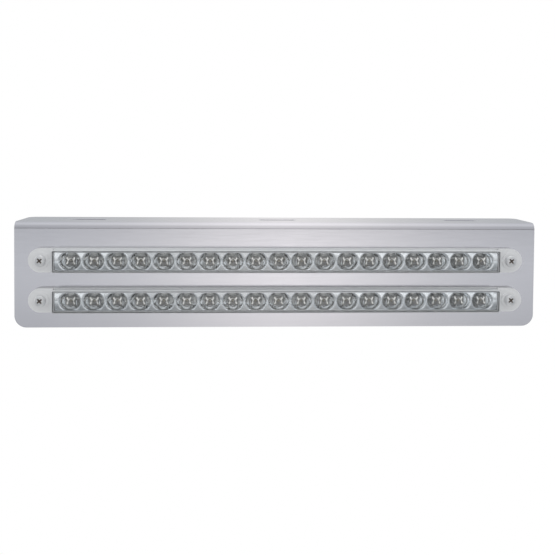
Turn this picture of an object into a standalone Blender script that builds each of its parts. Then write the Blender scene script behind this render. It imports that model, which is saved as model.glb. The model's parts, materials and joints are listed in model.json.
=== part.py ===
"""Twin LED light bar: two slim bars of lamps screwed to a folded stainless-steel bracket.

Units are metres. +Z is up, +X runs along the bars, and the lamps face -Y.
The origin is on top of the bracket's flange, on the middle plane, half an inch behind the front face.
A depth is a distance in front of the bracket's front face, so depths behind that face are negative.
"""

import math

import bmesh
import bpy

# Bracket: one sheet folded into a tall front face and a flange that runs back from its top.
SHEET = 0.0015
BRACKET_WIDTH = 0.4604
FACE_HEIGHT = 0.0927
FLANGE_DEPTH = 0.0508
BEND_RADIUS = 0.006
BEND_STEPS = 8
CORNER_STEPS = 8
FACE_CORNER_RADIUS = 0.0105
FLANGE_CORNER_RADIUS = 0.0075
FACE_Y = -0.0127

# Mounting slots in the flange.
SLOT_LENGTH = 0.034
SLOT_WIDTH = 0.008
SLOT_SPACING = 0.1705
SLOT_SETBACK = 0.0254

# Light bars: heights of the two centre lines below the flange's top, then their common sizes.
BAR_HEIGHTS = {"upper": -0.0330, "lower": -0.0679}
SCREW_X = 0.2064
BAR_HALF_HEIGHT = 0.0106
GAP = 0.0003

# Base moulding: floor with a recess for the seal, ears, screw bosses and the tall rib round the reflector.
PAD_DEPTHS = (0.0003, 0.0012)
PAD_MARGIN = 0.0018
BASE_BACK = 0.0003
BASE_FLOOR = 0.0030
EAR_FRONT = 0.0056
BOSS_FRONT = 0.0064
EAR_ROUNDING = 0.0006
BOSS_RADIUS = 0.0074
BOSS_STEPS = 28
WEB_HALF_HEIGHT = 0.0009
WEB_SETBACK = 0.0005
RIB_FRONT = 0.0118
RIB_WIDTH = 0.0007
RIB_CORNER = 0.0008

# Lens: a clear cap, open at the back.
LENS_HALF_LENGTH = 0.1953
LENS_HALF_HEIGHT = 0.0100
LENS_DEPTHS = (0.0033, 0.0135)
LENS_WALL = 0.0010
LENS_CORNER = 0.0020
LENS_CHAMFER = 0.0005

# Reflector strip and its dished cups, one for each lamp.
LAMP_COUNT = 19
LAMP_PITCH = 0.020
REFLECTOR_DEPTHS = (0.0050, 0.0112)
CUP_RIM_RADIUS = 0.0092
CUP_HALF_HEIGHT = 0.0074
CUP_HOLE_HALF = 0.0041
CUP_HOLE_CORNER = 0.0008
CUP_FLOOR = 0.0003
CUP_MIDDLE = 0.5
CUP_CURVE = 1.4
CUP_STEPS = 2

# Circuit board and the lamps soldered to it: square bodies with a round dome.
BOARD_DEPTHS = (0.0033, 0.0045)
LED_BODY_HALF = 0.0038
LED_BODY_CORNER = 0.0006
LED_BODY_HEIGHT = 0.0022
LED_DOME_RADIUS = 0.0025
LED_DOME_ANGLES = (0, 40, 78)
LED_STEPS = 2

# Fasteners and the wire outlet.
SCREW_HEAD_RADIUS = 0.0049
SCREW_HEAD_HEIGHT = 0.0026
SCREW_HEAD_CURVE = ((1.0, 0.45), (0.86, 0.82), (0.55, 1.0))
SHANK_RADIUS = 0.0024
SHANK_TIP = -0.0085
SHANK_CHAMFER = 0.0004
SCREW_HOLE_RADIUS = 0.0028
RECESS_LENGTH = 0.0053
RECESS_WIDTH = 0.0012
RECESS_DEPTH = 0.0015
RECESS_TAPER = 0.55
RECESS_RISE = 0.00025
RECESS_TURN = math.radians(40)
NUT_DEPTHS = (-0.0018, -0.0066)
NUT_FLATS = 0.008
NUT_FLANGE_RADIUS = 0.0058
NUT_FLANGE_HEIGHT = 0.0013
NUT_FLANGE_SLOPE = 0.0008
NUT_FLANGE_EDGE = 0.0005
NUT_BORE_RADIUS = 0.0027
WIRE_HOLE_RADIUS = 0.0064
GROMMET_LIP_RADIUS = 0.0080
GROMMET_LIP_FRONT = 0.0010
GROMMET_COLLAR_BACK = -0.0036
GROMMET_BORE_RADIUS = 0.0036
GROMMET_CHAMFER = 0.0006
BASE_WIRE_HOLE_RADIUS = 0.0040
PAD_WIRE_HOLE_RADIUS = 0.0084

# How many flats stand for a circle or a small corner, and how far cutters reach past what they cut.
FASTENER_SEGMENTS = 20
HOLE_SEGMENTS = 16
WIRE_SEGMENTS = 24
RIB_CORNER_STEPS = 3
HOLLOW_CORNER_STEPS = 3
OVERSHOOT = 0.001

# Edges sharper than this stay sharp, and points closer than this are one point.
SHARP_ANGLE = math.radians(35)
WELD_DISTANCE = 1e-6


def clear_scene():
    for obj in list(bpy.data.objects):
        bpy.data.objects.remove(obj)


def material(name, colour, roughness, metallic):
    """One Principled material; called once for each kind of sub-part."""
    made = bpy.data.materials.new(name)
    made.use_nodes = True
    shader = made.node_tree.nodes["Principled BSDF"]
    shader.inputs["Base Color"].default_value = (*colour, 1.0)
    shader.inputs["Roughness"].default_value = roughness
    shader.inputs["Metallic"].default_value = metallic
    return made


def make_materials():
    return {
        "bracket": material("stainless_steel", (0.62, 0.63, 0.66), 0.28, 1.0),
        "pad": material("foam", (0.72, 0.72, 0.72), 0.9, 0.0),
        "base": material("white_plastic", (0.80, 0.80, 0.80), 0.4, 0.0),
        "board": material("circuit_board", (0.75, 0.77, 0.75), 0.5, 0.0),
        "led": material("led_epoxy", (0.78, 0.74, 0.60), 0.1, 0.0),
        "reflector": material("chromed_plastic", (0.80, 0.81, 0.82), 0.08, 1.0),
        "lens": material("clear_plastic", (0.88, 0.90, 0.91), 0.05, 0.0),
        "screw": material("screw_steel", (0.75, 0.75, 0.76), 0.2, 1.0),
        "nut": material("zinc_plate", (0.66, 0.66, 0.64), 0.35, 1.0),
        "grommet": material("black_rubber", (0.03, 0.03, 0.03), 0.7, 0.0),
    }


def add_object(name, bm, mat, parent=None, location=(0.0, 0.0, 0.0)):
    """Turns a finished bmesh into a named object; its faces point outwards."""
    bmesh.ops.recalc_face_normals(bm, faces=bm.faces)
    mesh = bpy.data.meshes.new(name)
    bm.to_mesh(mesh)
    bm.free()
    if mat:
        mesh.materials.append(mat)
    obj = bpy.data.objects.new(name, mesh)
    obj.location = location
    obj.parent = parent
    bpy.context.scene.collection.objects.link(obj)
    return obj


def shade_round(obj):
    obj.data.shade_smooth()
    obj.data.set_sharp_from_angle(angle=SHARP_ANGLE)


def add_tool(name, bm, parent=None, location=(0.0, 0.0, 0.0)):
    """A helper shape for a Boolean; it is not a piece of the object."""
    tool = add_object(name, bm, None, parent, location)
    tool.hide_render = True
    tool.display_type = "WIRE"
    return tool


def combine(obj, tool, operation):
    boolean = obj.modifiers.new(operation.lower() + "_" + tool.name, "BOOLEAN")
    boolean.object = tool
    boolean.operation = operation
    boolean.solver = "EXACT"


def join_into(bm, other):
    """Adds another bmesh to this one as a separate island and frees it."""
    mesh = bpy.data.meshes.new("island")
    other.to_mesh(mesh)
    other.free()
    bm.from_mesh(mesh)
    bpy.data.meshes.remove(mesh)


def rounded_outline(half_width, half_height, radius, steps=6):
    """Anticlockwise rectangle with rounded corners, as (x, z) points."""
    points = []
    for corner in range(4):
        start = corner * math.pi / 2
        side_x = 1 if corner in (0, 3) else -1
        side_z = 1 if corner in (0, 1) else -1
        for step in range(steps + 1):
            angle = start + step / steps * math.pi / 2
            x = side_x * (half_width - radius) + radius * math.cos(angle)
            z = side_z * (half_height - radius) + radius * math.sin(angle)
            points.append((x, z))
    return points


def loft(sections):
    """Closed solid through outlines of equal point count; sections are (depth, outline), back to front."""
    bm = bmesh.new()
    rings = []
    for depth, outline in sections:
        rings.append([bm.verts.new((x, -depth, z)) for x, z in outline])
    for behind, ahead in zip(rings, rings[1:]):
        for i in range(len(behind)):
            j = (i + 1) % len(behind)
            bm.faces.new((behind[i], behind[j], ahead[j], ahead[i]))
    bm.faces.new(rings[0])
    bm.faces.new(rings[-1])
    bmesh.ops.remove_doubles(bm, verts=bm.verts, dist=WELD_DISTANCE)
    bmesh.ops.recalc_face_normals(bm, faces=bm.faces)
    return bm


def block(x_range, z_range, depths):
    """Plain box between two depths."""
    outline = [
        (x_range[0], z_range[0]),
        (x_range[1], z_range[0]),
        (x_range[1], z_range[1]),
        (x_range[0], z_range[1]),
    ]
    return loft([(depths[0], outline), (depths[1], outline)])


def turned(profile, segments):
    """Closed solid turned about the Y axis from (radius, depth) points."""
    bm = bmesh.new()
    verts = [bm.verts.new((radius, -depth, 0.0)) for radius, depth in profile]
    edges = [bm.edges.new(pair) for pair in zip(verts, verts[1:])]
    bmesh.ops.spin(
        bm,
        geom=verts + edges,
        axis=(0.0, 1.0, 0.0),
        cent=(0.0, 0.0, 0.0),
        angle=2 * math.pi,
        steps=segments,
    )
    bmesh.ops.remove_doubles(bm, verts=bm.verts, dist=WELD_DISTANCE)
    bmesh.ops.recalc_face_normals(bm, faces=bm.faces)
    return bm


def cylinder(radius, depths, segments=HOLE_SEGMENTS):
    behind, ahead = depths
    return turned([(0.0, behind), (radius, behind), (radius, ahead), (0.0, ahead)], segments)


def moved(bm, x=0.0, z=0.0):
    bmesh.ops.translate(bm, verts=bm.verts, vec=(x, 0.0, z))
    return bm


def fold_point(x, along, inset):
    """Where a point of the flat sheet lands; along is 0 where the bend starts, inset is 0 on the outside."""
    bend_length = BEND_RADIUS * math.pi / 2
    bend_y = FACE_Y + BEND_RADIUS
    if along <= 0.0:
        return (x, bend_y - along, -inset)
    if along >= bend_length:
        return (x, FACE_Y + inset, -BEND_RADIUS - (along - bend_length))
    angle = along / BEND_RADIUS
    reach = BEND_RADIUS - inset
    return (x, bend_y - reach * math.sin(angle), -BEND_RADIUS + reach * math.cos(angle))


def flat_sheet_outline():
    """Outline of the unfolded sheet as (x, along) points, with its four rounded corners."""
    half = BRACKET_WIDTH / 2
    flange_end = -(FLANGE_DEPTH - BEND_RADIUS)
    face_end = BEND_RADIUS * math.pi / 2 + FACE_HEIGHT - BEND_RADIUS
    corners = [
        (half, face_end, FACE_CORNER_RADIUS, 0),
        (-half, face_end, FACE_CORNER_RADIUS, 1),
        (-half, flange_end, FLANGE_CORNER_RADIUS, 2),
        (half, flange_end, FLANGE_CORNER_RADIUS, 3),
    ]
    points = []
    for x, along, radius, quarter in corners:
        centre_x = x - math.copysign(radius, x)
        centre_along = along - math.copysign(radius, along)
        for step in range(CORNER_STEPS + 1):
            angle = (quarter + step / CORNER_STEPS) * math.pi / 2
            points.append((centre_x + radius * math.cos(angle), centre_along + radius * math.sin(angle)))
    return points


def build_bracket(mats):
    """The folded sheet, cut across its bend so that it can turn the corner, then drilled."""
    outline = flat_sheet_outline()
    bm = bmesh.new()
    outside = [bm.verts.new((x, along, 0.0)) for x, along in outline]
    inside = [bm.verts.new((x, along, SHEET)) for x, along in outline]
    for i in range(len(outline)):
        j = (i + 1) % len(outline)
        bm.faces.new((outside[i], outside[j], inside[j], inside[i]))
    bm.faces.new(outside)
    bm.faces.new(inside)
    for step in range(BEND_STEPS + 1):
        along = step / BEND_STEPS * BEND_RADIUS * math.pi / 2
        everything = list(bm.verts) + list(bm.edges) + list(bm.faces)
        bmesh.ops.bisect_plane(bm, geom=everything, plane_co=(0.0, along, 0.0), plane_no=(0.0, 1.0, 0.0))
    for vert in bm.verts:
        vert.co = fold_point(*vert.co)
    bracket = add_object("bracket", bm, mats["bracket"])
    shade_round(bracket)
    combine(bracket, slot_tool(), "DIFFERENCE")
    combine(bracket, face_hole_tool(), "DIFFERENCE")


def slot_tool():
    """Three round-ended slots for the bolts that hold the flange up."""
    tool = bmesh.new()
    outline = rounded_outline(SLOT_LENGTH / 2, SLOT_WIDTH / 2, SLOT_WIDTH / 2)
    for place in (-1, 0, 1):
        slot = loft([(-SHEET - OVERSHOOT, outline), (OVERSHOOT, outline)])
        join_into(tool, moved(slot, x=place * SLOT_SPACING))
    slots = add_tool("slot_tool", tool, location=(0.0, FACE_Y + SLOT_SETBACK, 0.0))
    slots.rotation_euler = (-math.pi / 2, 0.0, 0.0)
    return slots


def face_hole_tool():
    """Screw holes and wire holes through the front face, for both bars."""
    tool = bmesh.new()
    depths = (-SHEET - OVERSHOOT, OVERSHOOT)
    for height in BAR_HEIGHTS.values():
        for x in (-SCREW_X, SCREW_X):
            join_into(tool, moved(cylinder(SCREW_HOLE_RADIUS, depths), x=x, z=height))
        join_into(tool, moved(cylinder(WIRE_HOLE_RADIUS, depths, WIRE_SEGMENTS), z=height))
    return add_tool("face_hole_tool", tool, location=(0.0, FACE_Y, 0.0))


def bar_outline(margin=0.0):
    """Outline of a whole bar: straight sides and round ends centred on the screws."""
    radius = BAR_HALF_HEIGHT - margin
    return rounded_outline(SCREW_X + radius, radius, radius)


def hole_tool(name, parent, wire_radius, depths):
    """Two screw holes and one wire hole through a bar's pad or base."""
    tool = bmesh.new()
    for x in (-SCREW_X, SCREW_X):
        join_into(tool, moved(cylinder(SCREW_HOLE_RADIUS, depths), x=x))
    join_into(tool, cylinder(wire_radius, depths, WIRE_SEGMENTS))
    return add_tool(name, tool, parent)


def build_pad(bar, parent, mats):
    """Thin foam seal against the bracket, in the recess at the back of the base."""
    outline = bar_outline(PAD_MARGIN)
    pad = add_object("foam_pad_" + bar, loft([(d, outline) for d in PAD_DEPTHS]), mats["pad"], parent)
    depths = (PAD_DEPTHS[0] - OVERSHOOT, PAD_DEPTHS[1] + OVERSHOOT)
    combine(pad, hole_tool("pad_holes_" + bar, parent, PAD_WIRE_HOLE_RADIUS, depths), "DIFFERENCE")


def rib_block(inset, depths):
    """The part of the base just inside the lens walls, shrunk by an inset."""
    clearance = LENS_WALL + GAP
    half_length = LENS_HALF_LENGTH - clearance - inset
    half_height = LENS_HALF_HEIGHT - clearance - inset
    outline = rounded_outline(half_length, half_height, RIB_CORNER, RIB_CORNER_STEPS)
    return loft([(d, outline) for d in depths])


def build_base(bar, parent, mats):
    """White moulding: floor under the lens, an ear with a boss at each end, and a rib round the reflector."""
    outline = bar_outline()
    sections = [
        (BASE_BACK, outline),
        (EAR_FRONT - EAR_ROUNDING, outline),
        (EAR_FRONT, bar_outline(EAR_ROUNDING)),
    ]
    base = add_object("base_housing_" + bar, loft(sections), mats["base"], parent)
    recess_outline = bar_outline(PAD_MARGIN - GAP)
    recess = loft([(d, recess_outline) for d in (BASE_BACK - OVERSHOOT, PAD_DEPTHS[1] + GAP)])
    combine(base, add_tool("pad_recess_" + bar, recess, parent), "DIFFERENCE")
    seat_x = LENS_HALF_LENGTH + GAP
    seat_z = BAR_HALF_HEIGHT + OVERSHOOT
    seat = block((-seat_x, seat_x), (-seat_z, seat_z), (BASE_FLOOR, EAR_FRONT + OVERSHOOT))
    combine(base, add_tool("lens_seat_" + bar, seat, parent), "DIFFERENCE")
    rib = rib_block(0.0, (BASE_FLOOR - OVERSHOOT, RIB_FRONT))
    combine(base, add_tool("rib_" + bar, rib, parent), "UNION")
    tray = rib_block(RIB_WIDTH, (BASE_FLOOR, RIB_FRONT + OVERSHOOT))
    combine(base, add_tool("tray_" + bar, tray, parent), "DIFFERENCE")
    for side, sign in (("left", -1), ("right", 1)):
        boss = ear_boss(sign, seat_x)
        combine(base, add_tool("boss_" + side + "_" + bar, boss, parent), "UNION")
    depths = (BASE_BACK - OVERSHOOT, BOSS_FRONT + OVERSHOOT)
    combine(base, hole_tool("base_holes_" + bar, parent, BASE_WIRE_HOLE_RADIUS, depths), "DIFFERENCE")
    shade_round(base)


def ear_boss(sign, seat_x):
    """Raised disc under a screw head with a short web towards the lens, as one closed keyhole shape."""
    inner_x = SCREW_X - seat_x - WEB_SETBACK
    start = math.asin(WEB_HALF_HEIGHT / BOSS_RADIUS)
    outline = [(-inner_x, WEB_HALF_HEIGHT), (-inner_x, -WEB_HALF_HEIGHT)]
    for step in range(BOSS_STEPS + 1):
        angle = math.pi + start + step / BOSS_STEPS * (2 * math.pi - 2 * start)
        outline.append((BOSS_RADIUS * math.cos(angle), BOSS_RADIUS * math.sin(angle)))
    placed = [(sign * (SCREW_X + x), z) for x, z in outline]
    return loft([(EAR_FRONT - OVERSHOOT, placed), (BOSS_FRONT, placed)])


def build_board(bar, parent, mats):
    """Long narrow circuit board inside the base's rib."""
    inset = RIB_WIDTH + GAP
    add_object("circuit_board_" + bar, rib_block(inset, BOARD_DEPTHS), mats["board"], parent)


def led_bmesh():
    """Square lamp body with a dome on its front; depths start at its own back face."""
    body = rounded_outline(LED_BODY_HALF, LED_BODY_HALF, LED_BODY_CORNER, LED_STEPS)
    sections = [(0.0, body), (LED_BODY_HEIGHT, body)]
    for degrees in LED_DOME_ANGLES:
        radius = LED_DOME_RADIUS * math.cos(math.radians(degrees))
        depth = LED_BODY_HEIGHT + LED_DOME_RADIUS * math.sin(math.radians(degrees))
        sections.append((depth, rounded_outline(radius, radius, radius, LED_STEPS)))
    return loft(sections)


def lamp_positions():
    first = -(LAMP_COUNT - 1) / 2 * LAMP_PITCH
    return [first + index * LAMP_PITCH for index in range(LAMP_COUNT)]


def build_leds(bar, parent, mats):
    """One lamp for each cup, all sharing a mesh."""
    back = BOARD_DEPTHS[1] + GAP
    mesh = None
    for index, x in enumerate(lamp_positions(), start=1):
        name = f"led_{bar}_{index:02d}"
        if mesh is None:
            led = add_object(name, led_bmesh(), mats["led"], parent)
            shade_round(led)
            mesh = led.data
        else:
            led = bpy.data.objects.new(name, mesh)
            led.parent = parent
            bpy.context.scene.collection.objects.link(led)
        led.location = (x, -back, 0.0)


def cup_bmesh():
    """Hollow of one cup: a square lamp hole that opens into a round dish, cut flat above and below."""
    behind, ahead = REFLECTOR_DEPTHS
    floor = behind + CUP_FLOOR
    hole = rounded_outline(CUP_HOLE_HALF, CUP_HOLE_HALF, CUP_HOLE_CORNER, CUP_STEPS)
    rim = [
        (x, max(-CUP_HALF_HEIGHT, min(CUP_HALF_HEIGHT, z)))
        for x, z in rounded_outline(CUP_RIM_RADIUS, CUP_RIM_RADIUS, CUP_RIM_RADIUS, CUP_STEPS)
    ]
    middle = [
        (x + CUP_MIDDLE * (rim_x - x), z + CUP_MIDDLE * (rim_z - z))
        for (x, z), (rim_x, rim_z) in zip(hole, rim)
    ]
    return loft(
        [
            (behind - OVERSHOOT, hole),
            (floor, hole),
            (floor + CUP_MIDDLE**CUP_CURVE * (ahead - floor), middle),
            (ahead, rim),
            (ahead + OVERSHOOT, rim),
        ]
    )


def build_reflector(bar, parent, mats):
    """Chromed strip with a row of cups."""
    strip = rib_block(RIB_WIDTH + GAP, REFLECTOR_DEPTHS)
    reflector = add_object("reflector_" + bar, strip, mats["reflector"], parent)
    cups = bmesh.new()
    for x in lamp_positions():
        join_into(cups, moved(cup_bmesh(), x=x))
    combine(reflector, add_tool("cups_" + bar, cups, parent), "DIFFERENCE")
    shade_round(reflector)


def build_lens(bar, parent, mats):
    """Clear cap with softened front edges, hollow and open at the back."""
    behind, ahead = LENS_DEPTHS
    outer = rounded_outline(LENS_HALF_LENGTH, LENS_HALF_HEIGHT, LENS_CORNER)
    front_face = rounded_outline(
        LENS_HALF_LENGTH - LENS_CHAMFER, LENS_HALF_HEIGHT - LENS_CHAMFER, LENS_CORNER - LENS_CHAMFER
    )
    lens = add_object(
        "lens_" + bar,
        loft([(behind, outer), (ahead - LENS_CHAMFER, outer), (ahead, front_face)]),
        mats["lens"],
        parent,
    )
    inner = rounded_outline(
        LENS_HALF_LENGTH - LENS_WALL,
        LENS_HALF_HEIGHT - LENS_WALL,
        LENS_CORNER - LENS_WALL,
        HOLLOW_CORNER_STEPS,
    )
    hollow = loft([(behind - OVERSHOOT, inner), (ahead - LENS_WALL, inner)])
    combine(lens, add_tool("lens_hollow_" + bar, hollow, parent), "DIFFERENCE")
    shade_round(lens)


def screw_profile():
    """Pan-head machine screw from its tip to the top of its head."""
    seat = BOSS_FRONT + GAP
    shank = [
        (0.0, SHANK_TIP),
        (SHANK_RADIUS - SHANK_CHAMFER, SHANK_TIP),
        (SHANK_RADIUS, SHANK_TIP + SHANK_CHAMFER),
        (SHANK_RADIUS, seat),
        (SCREW_HEAD_RADIUS, seat),
    ]
    head = [
        (across * SCREW_HEAD_RADIUS, seat + up * SCREW_HEAD_HEIGHT) for across, up in SCREW_HEAD_CURVE
    ]
    return shank + head + [(0.0, seat + SCREW_HEAD_HEIGHT)]


def recess_bmesh():
    """Cross recess that narrows towards its floor, above and below the head's top."""
    top = BOSS_FRONT + GAP + SCREW_HEAD_HEIGHT
    floor = top - RECESS_DEPTH
    length = RECESS_LENGTH / 2
    width = RECESS_WIDTH / 2
    sections = []
    for depth, scale in ((floor, RECESS_TAPER), (top + RECESS_RISE, 1.0)):
        reach = length * scale
        corner_points = [(reach, -width), (reach, width), (width, width)]
        outline = []
        for quarter in range(4):
            angle = quarter * math.pi / 2 + RECESS_TURN
            for x, z in corner_points:
                turned_x = x * math.cos(angle) - z * math.sin(angle)
                turned_z = x * math.sin(angle) + z * math.cos(angle)
                outline.append((turned_x, turned_z))
        sections.append((depth, outline))
    return loft(sections)


def build_fasteners(bar, parent, mats):
    """A screw through each ear and a flanged nut behind the bracket."""
    for side, sign in (("left", -1), ("right", 1)):
        place = (sign * SCREW_X, 0.0, 0.0)
        label = bar + "_" + side
        body = turned(screw_profile(), FASTENER_SEGMENTS)
        screw = add_object("screw_" + label, body, mats["screw"], parent, place)
        combine(screw, add_tool("recess_" + label, recess_bmesh(), parent, place), "DIFFERENCE")
        shade_round(screw)
        build_nut(label, parent, place, mats)


def build_nut(label, parent, place, mats):
    """Hexagon nut with a round flange towards the bracket."""
    near, far = NUT_DEPTHS
    flange_end = near - NUT_FLANGE_HEIGHT
    corner_radius = NUT_FLATS / 2 / math.cos(math.pi / 6)
    hexagon = [
        (corner_radius * math.cos(k * math.pi / 3), corner_radius * math.sin(k * math.pi / 3))
        for k in range(6)
    ]
    body = loft([(far, hexagon), (flange_end + NUT_FLANGE_HEIGHT / 2, hexagon)])
    nut = add_object("lock_nut_" + label, body, mats["nut"], parent, place)
    flange = turned(
        [
            (0.0, flange_end),
            (NUT_FLANGE_RADIUS - NUT_FLANGE_SLOPE, flange_end),
            (NUT_FLANGE_RADIUS, near - NUT_FLANGE_EDGE),
            (NUT_FLANGE_RADIUS, near),
            (0.0, near),
        ],
        FASTENER_SEGMENTS,
    )
    combine(nut, add_tool("nut_flange_" + label, flange, parent, place), "UNION")
    bore = cylinder(NUT_BORE_RADIUS, (far - OVERSHOOT, near + OVERSHOOT))
    combine(nut, add_tool("nut_bore_" + label, bore, parent, place), "DIFFERENCE")
    shade_round(nut)


def build_grommet(bar, parent, mats):
    """Rubber bush that lines the wire hole and grips the sheet from both sides."""
    neck = WIRE_HOLE_RADIUS - GAP
    profile = [
        (GROMMET_BORE_RADIUS, GROMMET_COLLAR_BACK),
        (GROMMET_LIP_RADIUS - GROMMET_CHAMFER, GROMMET_COLLAR_BACK),
        (GROMMET_LIP_RADIUS, GROMMET_COLLAR_BACK + GROMMET_CHAMFER),
        (GROMMET_LIP_RADIUS, -SHEET - GAP),
        (neck, -SHEET - GAP),
        (neck, GAP),
        (GROMMET_LIP_RADIUS, GAP),
        (GROMMET_LIP_RADIUS, GROMMET_LIP_FRONT),
        (GROMMET_BORE_RADIUS, GROMMET_LIP_FRONT),
        (GROMMET_BORE_RADIUS, GROMMET_COLLAR_BACK),
    ]
    grommet = add_object("wire_grommet_" + bar, turned(profile, WIRE_SEGMENTS), mats["grommet"], parent)
    shade_round(grommet)


def build_bar(bar, height, mats):
    """All the pieces of one light bar, hung on an empty at the bar's centre on the front face."""
    centre = bpy.data.objects.new("bar_centre_" + bar, None)
    centre.location = (0.0, FACE_Y, height)
    bpy.context.scene.collection.objects.link(centre)
    build_pad(bar, centre, mats)
    build_base(bar, centre, mats)
    build_board(bar, centre, mats)
    build_leds(bar, centre, mats)
    build_reflector(bar, centre, mats)
    build_lens(bar, centre, mats)
    build_grommet(bar, centre, mats)
    build_fasteners(bar, centre, mats)


def main():
    clear_scene()
    mats = make_materials()
    build_bracket(mats)
    for bar, height in BAR_HEIGHTS.items():
        build_bar(bar, height, mats)
    bpy.context.view_layer.update()


main()
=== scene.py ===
"""Looks of the twin LED light bar: fine surfaces, materials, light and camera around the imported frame."""

import json
import math

import bmesh
import bpy
from mathutils import Matrix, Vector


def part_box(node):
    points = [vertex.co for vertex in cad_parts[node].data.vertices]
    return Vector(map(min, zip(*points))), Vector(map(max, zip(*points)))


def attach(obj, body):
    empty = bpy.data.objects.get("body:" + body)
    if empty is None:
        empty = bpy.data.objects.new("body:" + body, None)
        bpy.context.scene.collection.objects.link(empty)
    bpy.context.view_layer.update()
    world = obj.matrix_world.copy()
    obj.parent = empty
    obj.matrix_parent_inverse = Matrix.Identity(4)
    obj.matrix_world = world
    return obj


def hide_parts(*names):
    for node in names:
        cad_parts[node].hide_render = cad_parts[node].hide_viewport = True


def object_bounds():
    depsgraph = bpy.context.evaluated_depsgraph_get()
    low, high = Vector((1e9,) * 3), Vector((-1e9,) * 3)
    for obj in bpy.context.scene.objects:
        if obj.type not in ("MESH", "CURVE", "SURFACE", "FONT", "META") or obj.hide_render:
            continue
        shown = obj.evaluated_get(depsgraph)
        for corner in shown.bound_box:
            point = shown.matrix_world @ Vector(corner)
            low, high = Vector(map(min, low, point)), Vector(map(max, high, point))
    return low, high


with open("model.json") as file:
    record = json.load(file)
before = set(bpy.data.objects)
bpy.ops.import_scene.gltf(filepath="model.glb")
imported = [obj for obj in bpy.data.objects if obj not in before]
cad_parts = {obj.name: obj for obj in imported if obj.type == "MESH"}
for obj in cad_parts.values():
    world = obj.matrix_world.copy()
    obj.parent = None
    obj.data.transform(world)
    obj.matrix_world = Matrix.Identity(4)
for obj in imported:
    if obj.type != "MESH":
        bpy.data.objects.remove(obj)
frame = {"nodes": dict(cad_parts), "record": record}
CAD_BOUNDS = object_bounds()

BARS = ("upper", "lower")
SIDES = ("left", "right")
LAMPS = range(1, 20)

# Lengths are in metres. Cutters reach past what they cut by OVERCUT; the reflector's cells meet within
# SEAM_TOLERANCE.
NEARLY_ZERO = 1e-9
WELD_DISTANCE = 1e-6
SEAM_TOLERANCE = 1e-5
OVERCUT = 0.001

# Sheet metal.
SHEET = 0.0015
BEND_RADIUS = 0.006
FACE_CORNER_RADIUS = 0.0105
FLANGE_CORNER_RADIUS = 0.0075
SLOT_LENGTH = 0.034
SLOT_WIDTH = 0.008
HOLE_RADIUS = 0.0028
WIRE_HOLE_RADIUS = 0.0064
SHEET_EDGE_ROUNDING = 0.00025

# Housing.
EDGE_ROUNDING = 0.0004
BOSS_RADIUS = 0.0074
EAR_HEIGHT = 0.0053
BOSS_HEIGHT = 0.0008
WEB_HALF_HEIGHT = 0.0009
WEB_SETBACK = 0.0005
CLEARANCE = 0.0003
FLOOR_DEPTH = 0.0027
FLOOR_HOLE_RADIUS = 0.0040
RIB_WIDTH = 0.0007
RIB_CORNER = 0.0008
RIB_INNER_CORNER = 0.0006

# Lens. The hollow's rounding is a share of its corner radius. A face is frosted if the forward part of its
# unit normal is under FRONT_FACING.
LENS_WALL = 0.0010
LENS_CORNER = 0.0020
LENS_ROUNDING = 0.0009
HOLLOW_ROUNDING = 0.6
FRONT_FACING = 0.97

# Reflector. RIM_RINGS are the rings of points near a cup's rim, measured from it.
CUP_RIM_RADIUS = 0.0092
CUP_HALF_HEIGHT = 0.0074
CUP_HOLE_HALF = 0.0041
CUP_HOLE_CORNER = 0.0008
CUP_FLOOR = 0.0002
BARREL_DROP = 0.0009
RIM_DROP = BARREL_DROP / 4
RIM_SOFTNESS = 0.0012
RIM_TO_CELL_EDGE = 0.0004
DISH_TO_RIM = 0.0010
RIM_RINGS = (-0.0007, -0.00045, -0.0002, 0.0, 0.0002)
LEDGE_LIP = 0.00015

# Lamp: square clear body with a dome, round a bright lead frame. Depths are in front of the lamp's back.
LED_BODY_HALF = 0.0038
LED_BODY_HEIGHT = 0.0022
LED_BODY_CORNER = 0.0006
LED_EDGE = 0.00025
LED_DOME_RADIUS = 0.0025
FRAME_STRIP_WIDTH = 0.0012
FRAME_DEPTHS = (0.0012, 0.0014)
FRAME_LEAN = 0.25
ARCH_HALF_SPAN = 0.0034
ARCH_TOP = 0.0016
ARCH_FALL = 0.0046
ARCH_POWER = 1.7
ARM_FOOT_X = 0.0020
ARM_FOOT_Z = -0.0002
ARM_SPREAD = 0.0013
ARM_RISE = 0.0030
ARM_POWER = 1.5
TILE_HALF = 0.0036
TILE_CORNER = 0.0005
TILE_DEPTHS = (0.0001, 0.0005)
CHIP_PROFILE = ((0.0, 0.00115), (0.00065, 0.00115), (0.0006, 0.0014), (0.00035, 0.0016), (0.0, 0.00165))

# Screw. Its cross recess has four wings, which narrow and get deeper inwards; WING_SLOPE has shares of their
# length and depth.
SCREW_TURN = math.radians(40)
RECESS_DEPTH = 0.0017
WING_LENGTH = 0.00265
WING_HALF_WIDTH = 0.00058
WING_NARROWING = 0.45
WING_ROOT_SHARE = 1.25
WING_SLOPE = ((0.30, 1.0), (0.62, 0.55), (1.0, 0.0))
WING_OVERREACH = 1.04
HEAD_EDGE = 0.0002
SHOULDER_SHARE = 0.38
CROWN_POWER = 0.55
SHANK_RADIUS = 0.0024
SHANK_OVERLAP = 0.0001
THREAD_PITCH = 0.0008
THREAD_DEPTH = 0.00035
TIP_LENGTH = 0.0006
TIP_NARROWING = 0.0004

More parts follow.
